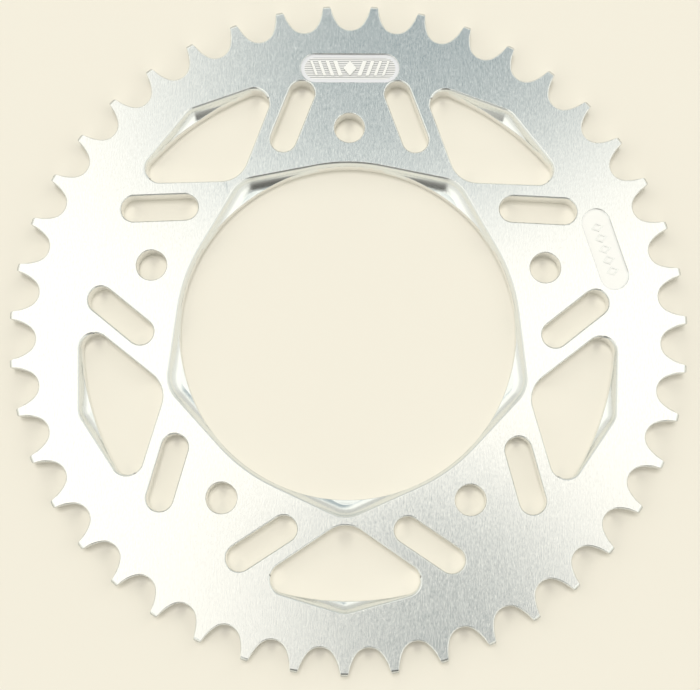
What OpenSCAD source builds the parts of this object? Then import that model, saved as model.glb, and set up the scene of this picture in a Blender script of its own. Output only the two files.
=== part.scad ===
// Rear sprocket for a roller chain: one plate, machined from sheet aluminium.
// It lies on its back face on z = 0 with the marked face up. The origin is the centre of the hub bore.
// +Y points through the bolt hole that stands under the long badge.

/* [Chain and teeth] */
// Number of teeth
tooth_count = 43; // [42:1:45]
// Pitch of the chain
chain_pitch = 15.875; // [15.75:0.125:16]
// Diameter of the chain's rollers
roller_d = 10.16; // [10:0.02:10.3]
// Height of a tooth above the root circle
tooth_h = 8.8; // [7:0.1:9]
// How far the tip chamfer reaches inwards on each face
tip_chamfer_w = 1.15; // [0.5:0.05:2]
// How deep the tip chamfer goes into the thickness
tip_chamfer_h = 1; // [0.5:0.1:2.5]

/* [Plate and hub fit] */
// Thickness of the plate
plate_t = 7.3; // [6.5:0.1:9]
// Diameter of the bore that centres the plate on the hub
bore_d = 112; // [110:0.5:112]
// Diameter of the bolt circle
bolt_circle_d = 138; // [136:0.5:140]
// Diameter of each bolt hole
bolt_hole_d = 10.2; // [8:0.1:11]
// Chamfer at both ends of a bolt hole
bolt_chamfer = 0.3; // [0.1:0.1:0.8]

/* [Lightening slots] */
// Width of a slot
slot_w = 8.8; // [6:0.2:9]
// Distance of a slot's inner end centre from the plate's centre, along the spoke
slot_inner_r = 65; // [64:0.5:67]
// Distance of the inner end centre from the spoke's centre line
slot_inner_side = 22.3; // [20:0.1:23]
// Distance of a slot's outer end centre from the plate's centre, along the spoke
slot_outer_r = 81; // [78:0.5:82]
// Distance of the outer end centre from the spoke's centre line
slot_outer_side = 16.3; // [15:0.1:17]

/* [Windows] */
// Radius at which a window's two inner edges would meet
window_point_r = 62.4; // [62:0.2:65]
// Angle of an inner edge from the window's centre line
window_edge_angle = 56; // [54:0.5:57]
// Rounding of the inner corner
window_point_round = 9.4; // [6:0.2:12]
// Width of the rim between the root circle and the outer edge
window_rim_w = 14.9; // [13:0.1:17]
// Rounding of the two outer corners
window_corner_round = 5; // [4.8:0.2:6]
// Radius at which the two walls of the stepped pocket would meet
pocket_point_r = 92.7; // [91:0.1:94]
// Rounding of the pocket's corner
pocket_point_round = 6; // [5:0.5:8]
// How far the pocket's walls stand outside the window's outer corners
pocket_step = 0.5; // [0.3:0.05:0.8]

/* [Relief cuts] */
// Depth of the pockets at the windows and round the bore
relief_depth = 3.65; // [3:0.05:4]
// Radius of the round-nosed cutter that leaves their curved walls
relief_cove_r = 4.5; // [4.2:0.1:4.7]
// Radius of the bore relief beside the bolt holes
bore_relief_r = 56.9; // [56.6:0.1:58]
// Radius at which the bore relief's straight walls would meet
bore_relief_point_r = 62.6; // [61:0.1:63]
// Rounding of the bore relief's five corners
bore_relief_round = 10; // [6:0.5:12]

/* [Badges] */
// Depth of the two badge pockets
badge_depth = 0.6; // [0.6:0.1:1]
// Distance of the badges from the plate's centre
badge_r = 90; // [89:0.1:91]
// Length of the long badge
long_badge_l = 33.4; // [30:0.2:34]
// Width of the long badge
long_badge_w = 10; // [8:0.1:10.2]
// Length of the short badge
short_badge_l = 28.2; // [24:0.2:30]
// Width of the short badge
short_badge_w = 9.5; // [8:0.1:10.2]
// Height of the long badge's raised marks above its floor
long_mark_h = 0.5; // [0.1:0.1:0.5]
// Height of the short badge's raised marks above its floor
short_mark_h = 0.2; // [0.1:0.1:0.5]
// Slant of the raised bars
bar_slant = 20; // [0:1:30]

/* [Hidden] */
$fn = 96;
// Degrees turned by each straight piece of an outline, on small roundings and on long arcs
rounding_turn = 8;
long_arc_turn = 3;

// Cutters run this far past the faces
past = 1;
spokes = 5;
spoke_step = 360 / spokes;
// The spokes stand at the bolt holes and the windows halfway between them
first_spoke = 90;
first_window = first_spoke + spoke_step / 2;

bore_r = bore_d / 2;
pitch_r = chain_pitch / (2 * sin(180 / tooth_count));
// Standard tooth gap: a seating arc, a working arc and a straight flank on each side
seat_r = (1.005 * roller_d + 0.076) / 2;
seat_angle = 35 + 60 / tooth_count;
work_angle = 18 - 56 / tooth_count;
work_r = 1.3025 * roller_d + 0.038;
work_offset = 0.8 * roller_d;
root_r = pitch_r - seat_r;
tip_r = root_r + tooth_h;

aluminium = [0.78, 0.79, 0.8];

function polar(r, a) = [r * cos(a), r * sin(a)];
function mirrored(points) = [for (i = [len(points) - 1:-1:0]) [points[i][0], -points[i][1]]];
function between(points) = [for (i = [1:len(points) - 2]) points[i]];
function arc(centre, r, from, to, turn = rounding_turn) =
    let (steps = ceil(abs(to - from) / turn))
    [for (i = [0:steps]) centre + polar(r, from + (to - from) * i / steps)];

// Places its children at each spoke, or at each window, with +X pointing outwards along it
module at_each(first) {
    for (i = [0:spokes - 1])
        rotate([0, 0, first + i * spoke_step])
            children();
}

// Cuts an outline through the whole plate
module through_cut(outline) {
    translate([0, 0, -past])
        linear_extrude(plate_t + 2 * past)
            polygon(outline);
}

// ---- Blank and teeth ----

// The turned blank, with a chamfer round the tooth tips on both faces
module blank() {
    rotate_extrude($fn = 360)
        polygon([
            [bore_r, 0],
            [tip_r - tip_chamfer_w, 0],
            [tip_r, tip_chamfer_h],
            [tip_r, plate_t - tip_chamfer_h],
            [tip_r - tip_chamfer_w, plate_t],
            [bore_r, plate_t]
        ]);
}

// One tooth gap, opening along +X, with its origin where the roller seats on the pitch circle
flank_angle = seat_angle - work_angle;
work_centre = work_offset * [sin(seat_angle), cos(seat_angle)];
flank_foot = work_centre - work_r * [sin(flank_angle), cos(flank_angle)];
flank_end = flank_foot + (tip_r + past - pitch_r) * [1, -tan(flank_angle)];
lower_flank = concat(
    [flank_end],
    arc(work_centre, work_r, 270 - flank_angle, 270 - seat_angle, long_arc_turn)
);
gap_outline = concat(
    lower_flank,
    between(arc([0, 0], seat_r, 270 - seat_angle, 90 + seat_angle)),
    mirrored(lower_flank)
);

module tooth_gaps() {
    for (i = [0:tooth_count - 1])
        rotate([0, 0, first_spoke + i * 360 / tooth_count])
            translate([pitch_r, 0, 0])
                through_cut(gap_outline);
}

// ---- Bolt holes and slots ----

module bolt_holes() {
    r = bolt_hole_d / 2;
    at_each(first_spoke)
        translate([bolt_circle_d / 2, 0, 0]) {
            translate([0, 0, -past])
                cylinder(h = plate_t + 2 * past, r = r);
            translate([0, 0, -past])
                cylinder(h = past + bolt_chamfer, r1 = r + past + bolt_chamfer, r2 = r);
            translate([0, 0, plate_t - bolt_chamfer])
                cylinder(h = past + bolt_chamfer, r1 = r, r2 = r + past + bolt_chamfer);
        }
}

// A slot leans from its inner end, far from the spoke's centre line, to its outer end
slot_inner = [slot_inner_r, slot_inner_side];
slot_outer = [slot_outer_r, slot_outer_side];
slot_lean = atan2(slot_outer[1] - slot_inner[1], slot_outer[0] - slot_inner[0]);
slot_outline = concat(
    arc(slot_outer, slot_w / 2, slot_lean - 90, slot_lean + 90),
    arc(slot_inner, slot_w / 2, slot_lean + 90, slot_lean + 270)
);

module slots() {
    at_each(first_spoke) {
        through_cut(slot_outline);
        through_cut(mirrored(slot_outline));
    }
}

// ---- Windows ----

// Everything here has +X along the window's centre line. The upper inner edge leaves window_point
// along edge_dir, and edge_in is its normal into the window.
window_outer_r = root_r - window_rim_w;
window_point = [window_point_r, 0];
edge_dir = [cos(window_edge_angle), sin(window_edge_angle)];
edge_in = [sin(window_edge_angle), -cos(window_edge_angle)];

// The upper corner's centre is as far from the inner edge as from the outer arc
corner_start = window_point + window_corner_round * edge_in;
corner_reach = window_outer_r - window_corner_round;
corner_slide = -corner_start * edge_dir
    + sqrt(pow(corner_start * edge_dir, 2) - corner_start * corner_start + pow(corner_reach, 2));
corner = corner_start + corner_slide * edge_dir;
corner_angle = atan2(corner[1], corner[0]);

half_window = concat(
    arc([0, 0], window_outer_r, 0, corner_angle, long_arc_turn),
    between(arc(corner, window_corner_round, corner_angle, 90 + window_edge_angle)),
    arc(
        [window_point_r + window_point_round / sin(window_edge_angle), 0],
        window_point_round, 90 + window_edge_angle, 180
    )
);
window_outline = concat(half_window, between(mirrored(half_window)));

module windows() {
    at_each(first_window)
        through_cut(window_outline);
}

// ---- Relief pockets ----

// A round-nosed cutter leaves a curved wall: steep where it meets the face, and level at the floor.
// The pocket's outline is given once for each step down the curve, starting above the face. The last
// step dips under the floor, which is cut flat.
cove_steps = 11;
cove_start = 88;
cove_overrun = 0.03;
floor_z = plate_t - relief_depth;
face_angle = acos((relief_cove_r - relief_depth) / relief_cove_r);
function cove_angle(step) = cove_start * (1 - step / cove_steps);
function cove_inset(step) = relief_cove_r * (sin(face_angle) - sin(cove_angle(step)));
function cove_level(step) = floor_z
    + relief_cove_r * (1 - cos(cove_angle(step))) - (step < cove_steps ? 0 : cove_overrun);

module coved_pocket(outlines) {
    n = len(outlines[0]);
    levels = concat([plate_t + past], [for (step = [0:cove_steps]) cove_level(step)]);
    points = [for (j = [0:len(levels) - 1]) for (p = outlines[max(j - 1, 0)]) [p[0], p[1], levels[j]]];
    sides = [for (j = [0:len(levels) - 2]) for (i = [0:n - 1])
        [j * n + i, j * n + (i + 1) % n, (j + 1) * n + (i + 1) % n, (j + 1) * n + i]];
    intersection() {
        polyhedron(points, concat(
            [[for (i = [n - 1:-1:0]) i]],
            sides,
            [[for (i = [0:n - 1]) (len(levels) - 1) * n + i]]
        ));
        translate([0, 0, floor_z])
            cylinder(h = relief_depth + 2 * past, r = root_r);
    }
}

// Window pocket: a straight wall on each side runs from pocket_point past the window's corner
wall_to_corner = window_corner_round + pocket_step;
pocket_span = [pocket_point_r - corner[0], corner[1]];
wall_lean = acos(wall_to_corner / norm(pocket_span)) - atan2(pocket_span[1], pocket_span[0]);
pocket_corner = corner + pocket_step * polar(1, wall_lean);
pocket_round_x = pocket_point_r - pocket_point_round / cos(wall_lean);
// The outline turns this far round each corner, back into the open window
pocket_corner_turn = 115;

function half_pocket(inset) = concat(
    arc([pocket_round_x, 0], pocket_point_round - inset, 0, wall_lean),
    arc(pocket_corner, window_corner_round - inset, wall_lean, wall_lean + pocket_corner_turn),
    [corner, [corner[0], 0]]
);
function pocket_outline(inset) =
    concat(half_pocket(inset), between(mirrored(half_pocket(inset))));

module window_pockets() {
    at_each(first_window)
        coved_pocket([for (step = [0:cove_steps]) pocket_outline(cove_inset(step))]);
}

// Bore relief: a circle with a rounded point towards each window
point_half_angle = acos(bore_relief_r / bore_relief_point_r);
point_round_x = bore_relief_point_r - bore_relief_round / cos(point_half_angle);

function bore_relief_outline(inset) = [
    for (i = [0:spokes - 1], a = [first_window + i * spoke_step]) each concat(
        arc(
            polar(point_round_x, a), bore_relief_round - inset,
            a - point_half_angle, a + point_half_angle
        ),
        arc(
            [0, 0], bore_relief_r - inset,
            a + point_half_angle, a + spoke_step - point_half_angle, long_arc_turn
        )
    )
];

module bore_relief() {
    coved_pocket([for (step = [0:cove_steps]) bore_relief_outline(cove_inset(step))]);
}

// ---- Badges ----

// Both badges are round-ended pockets across a spoke, with plain raised marks on their floors.
// A mark's length runs outwards from the plate's centre and its width runs across the spoke.
function stadium(l, w) = concat(
    arc([0, (l - w) / 2], w / 2, 0, 180),
    arc([0, -(l - w) / 2], w / 2, 180, 360)
);
function diamond(l, w) = [[l / 2, 0], [0, w / 2], [-l / 2, 0], [0, -w / 2]];
function slanted_bar(y, l, w, lean) = [
    [-l / 2, y - w / 2 - lean],
    [l / 2, y - w / 2 + lean],
    [l / 2, y + w / 2 + lean],
    [-l / 2, y + w / 2 - lean]
];

// The pocket is cut round the marks up to their height, and whole above that
module badge_cut(l, w, mark_h) {
    translate([badge_r, 0, plate_t - badge_depth])
        linear_extrude(mark_h)
            difference() {
                polygon(stadium(l, w));
                children();
            }
    translate([badge_r, 0, plate_t - badge_depth + mark_h])
        linear_extrude(badge_depth - mark_h + past)
            polygon(stadium(l, w));
}

// Long badge: slanted bars on both sides of a diamond, each thinner than the one before it
bars_each_side = 4;
bar_l = 5.4;
bar_w = 1.7;
bar_thinning = 0.2;
bar_pitch = 2.7;
bar_offset = 1.4;
bar_lean = bar_l / 2 * tan(bar_slant);
middle_diamond_w = 4.6;

module long_badge() {
    rotate([0, 0, first_spoke])
        badge_cut(long_badge_l, long_badge_w, long_mark_h) {
            polygon(diamond(bar_l, middle_diamond_w));
            for (side = [-1, 1], i = [1:bars_each_side])
                polygon(slanted_bar(
                    side * (bar_offset + bar_pitch * i),
                    bar_l, bar_w - bar_thinning * i, side * bar_lean
                ));
        }
}

// Short badge: a row of diamonds drawn in a thin line
diamond_l = 4.2;
diamond_w = 3;
diamond_pitch = 3.9;
diamonds_in_row = 5;
diamond_line_w = 0.4;
diamond_core = 1 - 2 * diamond_line_w * norm([diamond_l, diamond_w]) / (diamond_l * diamond_w);

module short_badge() {
    rotate([0, 0, first_spoke - spoke_step])
        badge_cut(short_badge_l, short_badge_w, short_mark_h)
            for (i = [0:diamonds_in_row - 1])
                translate([0, (i - (diamonds_in_row - 1) / 2) * diamond_pitch])
                    difference() {
                        polygon(diamond(diamond_l, diamond_w));
                        polygon(diamond_core * diamond(diamond_l, diamond_w));
                    }
}

// ---- The plate ----

module sprocket_plate() {
    color(aluminium)
        difference() {
            blank();
            tooth_gaps();
            bolt_holes();
            slots();
            windows();
            window_pockets();
            bore_relief();
            long_badge();
            short_badge();
        }
}

sprocket_plate();
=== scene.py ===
"""The looks of the rear sprocket: brushed aluminium with machined pockets, on a plain pale floor."""

import math

import bpy
from mathutils import Matrix, Vector


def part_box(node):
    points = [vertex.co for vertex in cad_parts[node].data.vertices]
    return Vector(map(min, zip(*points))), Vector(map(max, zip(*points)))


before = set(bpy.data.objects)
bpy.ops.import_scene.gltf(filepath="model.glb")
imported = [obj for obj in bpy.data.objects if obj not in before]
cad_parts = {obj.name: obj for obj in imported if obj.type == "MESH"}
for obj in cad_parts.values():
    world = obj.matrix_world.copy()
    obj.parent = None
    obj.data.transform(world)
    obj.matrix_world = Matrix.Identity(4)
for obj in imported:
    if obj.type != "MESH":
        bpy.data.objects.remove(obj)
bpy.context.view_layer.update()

MM = 0.001

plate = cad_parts["sprocket_plate"]
low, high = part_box("sprocket_plate")
top_z = high.z

# ---- Node trees ----


class Value:
    """What a node gives out. Numbers take part in Python's own arithmetic."""

    def __init__(self, tree, socket):
        self.tree = tree
        self.socket = socket

    def __add__(self, other):
        return self.tree.math("ADD", self, other)

    def __sub__(self, other):
        return self.tree.math("SUBTRACT", self, other)

    def __rsub__(self, other):
        return self.tree.math("SUBTRACT", other, self)

    def __mul__(self, other):
        return self.tree.math("MULTIPLY", self, other)

    def __truediv__(self, other):
        return self.tree.math("DIVIDE", self, other)

    def __pow__(self, power):
        return self.tree.math("POWER", self, power)

    def __abs__(self):
        return self.tree.math("ABSOLUTE", self)

    def __lt__(self, other):
        return self.tree.math("LESS_THAN", self, other)

    def __gt__(self, other):
        return self.tree.math("GREATER_THAN", self, other)


class Tree:
    """A node tree, filled by short calls that take Values and plain numbers alike."""

    def __init__(self, node_tree):
        self.node_tree = node_tree
        node_tree.nodes.clear()

    def node(self, kind, inputs=None, **settings):
        """Adds a node. Its inputs are keyed by their name or their number."""
        node = self.node_tree.nodes.new(kind)
        for name, setting in settings.items():
            setattr(node, name, setting)
        for key, value in (inputs or {}).items():
            if isinstance(value, Value):
                self.node_tree.links.new(value.socket, node.inputs[key])
            else:
                node.inputs[key].default_value = value
        return node

    def add(self, kind, inputs=None, output=0, **settings):
        """Adds a node and gives one of its outputs."""
        return Value(self, self.node(kind, inputs, **settings).outputs[output])

    def math(self, operation, *numbers):
        return self.add("ShaderNodeMath", dict(enumerate(numbers)), operation=operation)

    def maximum(self, a, b):
        return self.math("MAXIMUM", a, b)

    def length(self, x, y):
        return self.math("SQRT", x * x + y * y)

    def ramp(self, value, start, end, to_start=0.0, to_end=1.0, kind="SMOOTHSTEP"):
        """Goes from to_start to to_end as the value goes from start to end, which may be the lower."""
        ends = {"From Min": start, "From Max": end, "To Min": to_start, "To Max": to_end}
        return self.add("ShaderNodeMapRange", {"Value": value, **ends}, interpolation_type=kind)

    def mix(self, factor, a, b):
        return self.add("ShaderNodeMix", {0: factor, 2: a, 3: b}, data_type="FLOAT")

    def mix_color(self, factor, a, b):
        return self.add("ShaderNodeMix", {0: factor, 6: a, 7: b}, output=2, data_type="RGBA")

    def join(self, x, y, z):
        return self.add("ShaderNodeCombineXYZ", {0: x, 1: y, 2: z})

    def split(self, vector):
        node = self.node("ShaderNodeSeparateXYZ", {0: vector})
        return [Value(self, socket) for socket in node.outputs]


# ---- Camera ----

camera_data = bpy.data.cameras.new("camera")
camera_data.sensor_width = 36
camera_data.lens = 74.57
camera_data.clip_start = 0.01
camera = bpy.data.objects.new("camera", camera_data)
bpy.context.scene.collection.objects.link(camera)
eye = Vector((6.444, -74.889, 481.135)) * MM
look = Vector((-0.011648, 0.145534, -0.989285)).normalized()
up = Vector((-0.007289, 0.989313, 0.145624)).normalized()
side = look.cross(up)
camera.matrix_world = Matrix.Translation(eye) @ Matrix((side, up, -look)).transposed().to_4x4()
bpy.context.scene.camera = camera

# ---- Light ----

# The sky is drawn on a flat map: across is how far a direction leans towards +X for each metre
# that it rises, and along is how far it leans towards +Y. Lower directions than this one are
# mapped as if they rose by this much.
LOWEST_RISE = 0.08

# A dark patch ends softly, and it is a little squarer than an ellipse, whose power is 2
PATCH_SOFTNESS = 0.12
PATCH_POWER = 2.5

# The person at the camera, who gets wider from PERSON_NEAR on towards the horizon
PERSON_MIDDLE = 0.03
PERSON_HALF = 0.15
PERSON_NEAR = -0.1
PERSON_SPREAD = 0.36

GAP_DARKNESS = 0.74
CAMERA_DARKNESS = 0.84
SOFT_BOX_STRENGTH = 1.20
ROOM_STRENGTH = 0.84
FAR_ROOM_STRENGTH = 0.62
LIT_COLOR = (1.05, 1.025, 0.93, 1.0)
SHADE_COLOR = (0.72, 1.05, 1.20, 1.0)
UPPER_CLOTHES_COLOR = (0.045, 0.040, 0.033, 1.0)
LOWER_CLOTHES_COLOR = (0.42, 0.41, 0.37, 1.0)


def sky_patch(tree, across, along, middle, half, lean):
    """1 inside a patch that leans towards +X as it goes to +Y, and 0 outside."""
    a = (across - middle[0] - (along - middle[1]) * lean) / half[0]
    b = (along - middle[1]) / half[1]
    size = (abs(a) ** PATCH_POWER + abs(b) ** PATCH_POWER) ** (1 / PATCH_POWER)
    return tree.ramp(size, 1 + PATCH_SOFTNESS, 1 - PATCH_SOFTNESS)


def person_at_camera(tree, across, along):
    """1 where someone stands on the -Y side and 0 elsewhere."""
    half = tree.maximum(PERSON_NEAR - along, 0.0) * PERSON_SPREAD + PERSON_HALF
    inside = tree.ramp(abs(across - PERSON_MIDDLE) / half, 1 + PATCH_SOFTNESS, 1 - PATCH_SOFTNESS)
    behind_camera = tree.ramp(along, -0.14, -0.26)
    return inside * behind_camera


def studio_world():
    """Soft boxes above a dimmer pale room, with the camera and its operator in front of them."""
    world = bpy.data.worlds.new("studio")
    world.use_nodes = True
    tree = Tree(world.node_tree)
    dx, dy, dz = tree.split(tree.add("ShaderNodeTexCoord", output="Generated"))
    upward = tree.maximum(dz, LOWEST_RISE)
    across = dx / upward
    along = dy / upward

    # The soft boxes leave a gap between them towards +Y, and the camera hangs in their middle
    gap = sky_patch(tree, across, along, middle=(0.200, 0.673), half=(0.228, 0.438), lean=0.495)
    gap = gap * tree.ramp(along, 0.95, 0.70)
    camera_patch = sky_patch(
        tree, across, along, middle=(0.069, -0.10), half=(0.094, 0.172), lean=-0.223
    )
    shade = tree.maximum(gap * GAP_DARKNESS, camera_patch * CAMERA_DARKNESS)

    # The room is darkest on the gap's side, around the +Y direction
    sideways = tree.maximum(tree.length(dx, dy), 0.01)
    far_side = tree.ramp(dy / sideways, 0.55, 0.9)
    room = tree.mix(far_side, ROOM_STRENGTH, FAR_ROOM_STRENGTH)
    strength = tree.ramp(dz, 0.52, 0.66, room, SOFT_BOX_STRENGTH) * (1.0 - shade)
    color = tree.mix_color(shade, LIT_COLOR, SHADE_COLOR)
    studio = tree.add("ShaderNodeBackground", {"Color": color, "Strength": strength})

    lower_clothes = tree.ramp(along, -0.6, -3.5, kind="LINEAR")
    clothes_color = tree.mix_color(lower_clothes, UPPER_CLOTHES_COLOR, LOWER_CLOTHES_COLOR)
    clothes = tree.add("ShaderNodeBackground", {"Color": clothes_color, "Strength": 1.0})
    person = person_at_camera(tree, across, along)
    sky = tree.add("ShaderNodeMixShader", {0: person, 1: studio, 2: clothes})
    tree.node("ShaderNodeOutputWorld", {"Surface": sky})
    return world


bpy.context.scene.world = studio_world()

# The key adds a soft shadow. It isn't visible in the metal, which reflects the studio only.
key_data = bpy.data.lights.new("key", "AREA")
key_data.shape = "DISK"
key_data.size = 1.0
key_data.energy = 46.0
key = bpy.data.objects.new("key", key_data)
bpy.context.scene.collection.objects.link(key)
key.location = (-0.12, 0.60, 4.0)
key.rotation_euler = Vector(key.location).to_track_quat("Z", "Y").to_euler()
key.visible_glossy = False

# ---- Floor ----

FLOOR_HALF = 3.0
FLOOR_GAP = 0.03 * MM
FLOOR_COLOR = (0.776, 0.745, 0.671, 1.0)


def pale_paper():
    material = bpy.data.materials.new("pale_floor")
    material.use_nodes = True
    tree = Tree(material.node_tree)
    matt = {"Base Color": FLOOR_COLOR, "Roughness": 0.9, "Specular IOR Level": 0.0}
    tree.node("ShaderNodeOutputMaterial", {"Surface": tree.add("ShaderNodeBsdfPrincipled", matt)})
    return material


corners = [(-1, -1), (1, -1), (1, 1), (-1, 1)]
floor_mesh = bpy.data.meshes.new("floor")
floor_mesh.from_pydata([(x * FLOOR_HALF, y * FLOOR_HALF, 0) for x, y in corners], [], [(0, 1, 2, 3)])
floor_mesh.materials.append(pale_paper())
floor = bpy.data.objects.new("floor", floor_mesh)
floor.location.z = low.z - FLOOR_GAP
bpy.context.scene.collection.objects.link(floor)


# ---- Badges ----

# Both badges are pockets with round ends across a spoke. The long one is on the spoke along +Y.
BADGE_R = 90 * MM
LONG_BADGE_L = 33.4 * MM
LONG_BADGE_W = 10 * MM
SHORT_BADGE_L = 28.2 * MM
SHORT_BADGE_W = 9.5 * MM
SHORT_BADGE_ANGLE = math.radians(18)


def distance_from_line(tree, along, across, half_line):
    """Distance from a line segment with its middle at the origin."""
    past_end = tree.maximum(abs(along) - half_line, 0.0)
    return tree.length(past_end, across)


def badge_distances(tree, x, y):
    """Distances from the straight lines down the middle of the long and the short badge."""
    cosine = math.cos(SHORT_BADGE_ANGLE)
    sine = math.sin(SHORT_BADGE_ANGLE)
    outward = x * cosine + y * sine
    along = y * cosine - x * sine
    return (
        distance_from_line(tree, x, y - BADGE_R, (LONG_BADGE_L - LONG_BADGE_W) / 2),
        distance_from_line(tree, along, outward - BADGE_R, (SHORT_BADGE_L - SHORT_BADGE_W) / 2),
    )


def inside_badge(tree, distance, width):
    """1 inside the badge and on its walls, 0 just outside."""
    return tree.ramp(distance, width / 2 + 0.25 * MM, width / 2 + 0.15 * MM)


# ---- Plate material ----

# Tones are how much light the metal reflects
FACE_TONE = 0.94
COVE_TONE = 0.86
WALL_TONE = 0.92
# The teeth's walls are painted darker than the walls further in: painted shade
TOOTH_WALL_SHADE_TONE = 0.74
# The walls inside the badges are painted dark: painted shade along the marks' lower edges
BADGE_WALL_SHADE_TONE = 0.28
LONG_BADGE_FLOOR_TONE = 0.88
BADGE_MARK_TONE = 1.0

# Green and blue against red
COVE_TINT = (1.04, 1.05)
WALL_TINT = (1.0, 0.98)
FACE_TINT = (1.0, 0.995)
BADGE_TINT = (1.008, 1.07)

GRAIN_CONTRAST = 0.34
CUTTER_MARK_CONTRAST = 0.16
# The long badge's floor is milled along the badge in narrow passes, and once round the rim
PASS_CONTRAST = 0.55
PASS_PITCH = 0.63 * MM

FACE_ROUGHNESS = 0.209
COVE_ROUGHNESS = 0.26
BADGE_ROUGHNESS = 0.5
EDGE_ROUGHNESS = 0.26

# How far highlights are drawn out, across the grain and up and down the walls
ANISOTROPY = 0.44

# Walls further out than this are the teeth's
TOOTH_R = 99 * MM


def at_depth(tree, z, zero_at, one_at):
    """0 at one depth below the upper face and 1 at another, in millimetres."""
    return tree.ramp(z, top_z - zero_at * MM, top_z - one_at * MM)


def noise(tree, x, y, z):
    noise_inputs = {"Vector": tree.join(x, y, z), "Scale": 1.0, "Detail": 1.0, "Roughness": 0.5}
    return tree.add("ShaderNodeTexNoise", noise_inputs, output="Fac")


def brushed_grain(tree, x, y, z):
    """Thin scratches along Y in three sizes, around 0. The factors are waves in a metre."""
    fine = noise(tree, x * 2900, y * 800, z * 400)
    middle = noise(tree, x * 2400, y * 240, z * 400)
    broad = noise(tree, x * 700, y * 50, z * 400)
    return fine * 0.60 + middle * 0.36 + broad * 0.08 - 0.52


def aluminium(name, edge):
    """Brushed faces, milled walls and pocket floors. The edge version is the smooth deburred edge."""
    material = bpy.data.materials.new(name)
    material.use_nodes = True
    tree = Tree(material.node_tree)
    x, y, z = tree.split(tree.add("ShaderNodeTexCoord", output="Object"))
    normal_z = abs(tree.split(tree.add("ShaderNodeNewGeometry", output="Normal"))[2])

    # Where on the plate this is: each of these is 1 there and 0 elsewhere
    level = tree.ramp(normal_z, 0.95, 0.99)
    upright = tree.ramp(normal_z, 0.2, 0.05)
    at_face = tree.maximum(at_depth(tree, z, 0.08, 0.04), tree.ramp(z, 0.08 * MM, 0.04 * MM))
    face = level * at_face
    long_distance, short_distance = badge_distances(tree, x, y)
    in_long_badge = inside_badge(tree, long_distance, LONG_BADGE_W)
    in_badge = tree.maximum(in_long_badge, inside_badge(tree, short_distance, SHORT_BADGE_W))
    badge_depth = at_depth(tree, z, 0.04, 0.08) * at_depth(tree, z, 1.0, 0.8)
    badge_floor = in_badge * level * badge_depth
    badge_mark = at_depth(tree, z, 0.4, 0.3)
    among_teeth = tree.ramp(tree.length(x, y), TOOTH_R, TOOTH_R + 1 * MM)

    # Texture
    grain = brushed_grain(tree, x, y, z) * face
    cutter_marks = noise(tree, x * 90, y * 90, z * 4500) - 0.5
    within_rim = tree.ramp(long_distance, LONG_BADGE_W / 2 - 1.1 * MM, LONG_BADGE_W / 2 - 1.4 * MM)
    passes = tree.math("SINE", y * (2 * math.pi / PASS_PITCH)) * badge_floor * within_rim
    passes = passes * at_depth(tree, z, 0.3, 0.4)

    # Colour
    # Painted shade: walls among the teeth get a darker tone than the walls further in
    wall_tone = tree.mix(among_teeth, WALL_TONE, TOOTH_WALL_SHADE_TONE) + cutter_marks * CUTTER_MARK_CONTRAST
    # Painted shade: walls inside the badge pockets take the dark badge wall tone
    wall_tone = tree.mix(in_badge * badge_depth, wall_tone, BADGE_WALL_SHADE_TONE)
    badge_tone = tree.mix(badge_mark, LONG_BADGE_FLOOR_TONE, BADGE_MARK_TONE)
    badge_tone = tree.mix(in_long_badge, BADGE_MARK_TONE, badge_tone)
    tone = tree.mix(face, tree.mix(upright, COVE_TONE, wall_tone), FACE_TONE)
    tone = tree.mix(badge_floor, tone + grain * GRAIN_CONTRAST, badge_tone) + passes * PASS_CONTRAST
    green, blue = (
        tree.mix(badge_floor, tree.mix(face, tree.mix(upright, cove, wall), on_face), on_badge)
        for cove, wall, on_face, on_badge in zip(COVE_TINT, WALL_TINT, FACE_TINT, BADGE_TINT)
    )
    color = tree.add("ShaderNodeCombineColor", {0: tone, 1: tone * green, 2: tone * blue})

    # Finish
    roughness = tree.mix(level, COVE_ROUGHNESS, grain * 0.15 + FACE_ROUGHNESS)
    roughness = tree.mix(badge_floor, roughness, BADGE_ROUGHNESS)
    bump = tree.add("ShaderNodeBump", {"Strength": 0.35, "Distance": 0.02 * MM, "Height": grain})
    # Along X on the faces, and upright on the walls
    tangent = tree.join(level, 0.0, 1.0 - level)
    shader = tree.add(
        "ShaderNodeBsdfPrincipled",
        {
            "Base Color": color,
            "Metallic": 1.0,
            "Roughness": EDGE_ROUGHNESS if edge else roughness,
            "Anisotropic": 0.0 if edge else ANISOTROPY,
            "Tangent": tangent,
            "Normal": bump,
        },
    )
    tree.node("ShaderNodeOutputMaterial", {"Surface": shader})
    return material


plate.data.materials.clear()
plate.data.materials.append(aluminium("brushed_aluminium", edge=False))
plate.data.materials.append(aluminium("deburred_edge", edge=True))

# ---- Deburred edges ----

EDGE_BREAK_W = 0.48 * MM
SHARP_ANGLE = math.radians(52)
# What share of the full width each kind of edge gets. The long badge's rim runs close to two slots.
POCKET_SHARE = 0.35
UNDERNEATH_SHARE = 0.2
BADGE_FLOOR_SHARE = 0.8
BADGE_RIM_SHARE = 0.4


def mesh_tree(name):
    """A node tree that changes a mesh, and the mesh that comes in."""
    group = bpy.data.node_groups.new(name, "GeometryNodeTree")
    for in_out in ("INPUT", "OUTPUT"):
        group.interface.new_socket("Geometry", in_out=in_out, socket_type="NodeSocketGeometry")
    tree = Tree(group)
    return tree, tree.add("NodeGroupInput")


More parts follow.
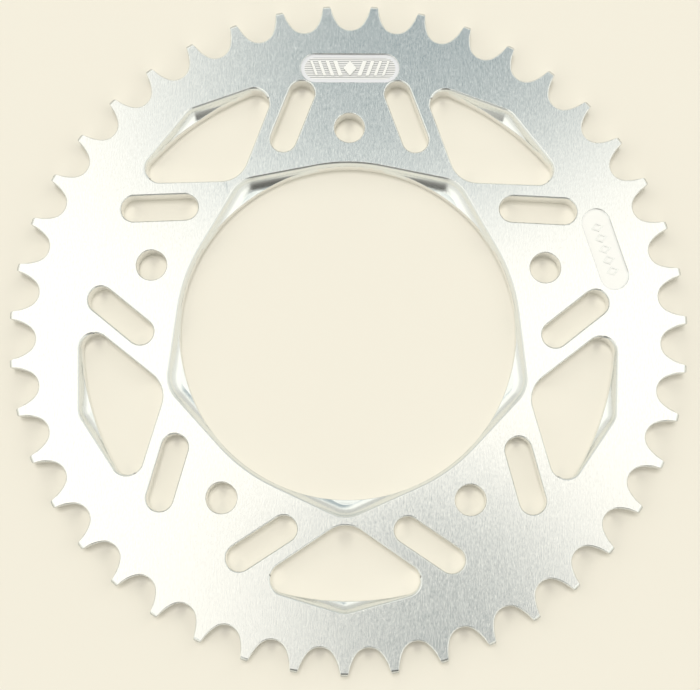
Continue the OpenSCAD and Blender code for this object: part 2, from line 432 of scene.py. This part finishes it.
def join_and_smooth():
    """Joins the triangles' shared corners and shades the result smooth."""
    tree, mesh = mesh_tree("join_and_smooth")
    mesh = tree.add("GeometryNodeMergeByDistance", {"Geometry": mesh, "Distance": 0.001 * MM})
    # Both faces are made exactly level, so that thin triangles on them shade like the rest
    x, y, z = tree.split(tree.add("GeometryNodeInputPosition"))
    at_top = abs(z - top_z) < 0.005 * MM
    at_bottom = abs(z - low.z) < 0.005 * MM
    level_z = tree.mix(at_bottom, tree.mix(at_top, z, top_z), low.z)
    place = tree.join(x, y, level_z)
    mesh = tree.add("GeometryNodeSetPosition", {"Geometry": mesh, "Position": place})
    mesh = tree.add("GeometryNodeSetShadeSmooth", {"Geometry": mesh, "Shade Smooth": True})
    tree.node("NodeGroupOutput", {0: mesh})
    return tree.node_tree


def edge_widths():
    """Gives each sharp edge its share of the full width."""
    tree, mesh = mesh_tree("edge_widths")
    sharp = tree.add("GeometryNodeInputMeshEdgeAngle", output="Unsigned Angle") > SHARP_ANGLE
    x, y, z = tree.split(tree.add("GeometryNodeInputPosition"))
    on_face = abs(z - top_z / 2) > top_z / 2 - 0.02 * MM
    underneath = z < 0.02 * MM
    at_badge_floor = (z > top_z - 0.9 * MM) * (z < top_z - 0.02 * MM)
    near_badge = tree.math("MINIMUM", *badge_distances(tree, x, y)) < LONG_BADGE_W / 2 + 0.1 * MM
    share = tree.mix(on_face, POCKET_SHARE, tree.mix(underneath, 1.0, UNDERNEATH_SHARE))
    share = share * tree.mix(at_badge_floor, 1.0, BADGE_FLOOR_SHARE)
    share = share * tree.mix(near_badge, 1.0, BADGE_RIM_SHARE)
    widths = {"Geometry": mesh, "Name": "bevel_weight_edge", "Value": sharp * share}
    mesh = tree.add("GeometryNodeStoreNamedAttribute", widths, data_type="FLOAT", domain="EDGE")
    tree.node("NodeGroupOutput", {0: mesh})
    return tree.node_tree


def modify_plate(name, kind, **settings):
    modifier = plate.modifiers.new(name, kind)
    for key, setting in settings.items():
        setattr(modifier, key, setting)


modify_plate("join", "NODES", node_group=join_and_smooth())
modify_plate("flat", "DECIMATE", decimate_type="DISSOLVE", angle_limit=math.radians(0.4))
modify_plate("widths", "NODES", node_group=edge_widths())
modify_plate(
    "deburr",
    "BEVEL",
    limit_method="WEIGHT",
    width=EDGE_BREAK_W,
    segments=3,
    profile=0.3,
    use_clamp_overlap=False,
    material=1,
)
modify_plate("weighted", "WEIGHTED_NORMAL", keep_sharp=True, weight=90)

bpy.context.scene.view_settings.view_transform = "Standard"
bpy.context.scene.cycles.blur_glossy = 0.05
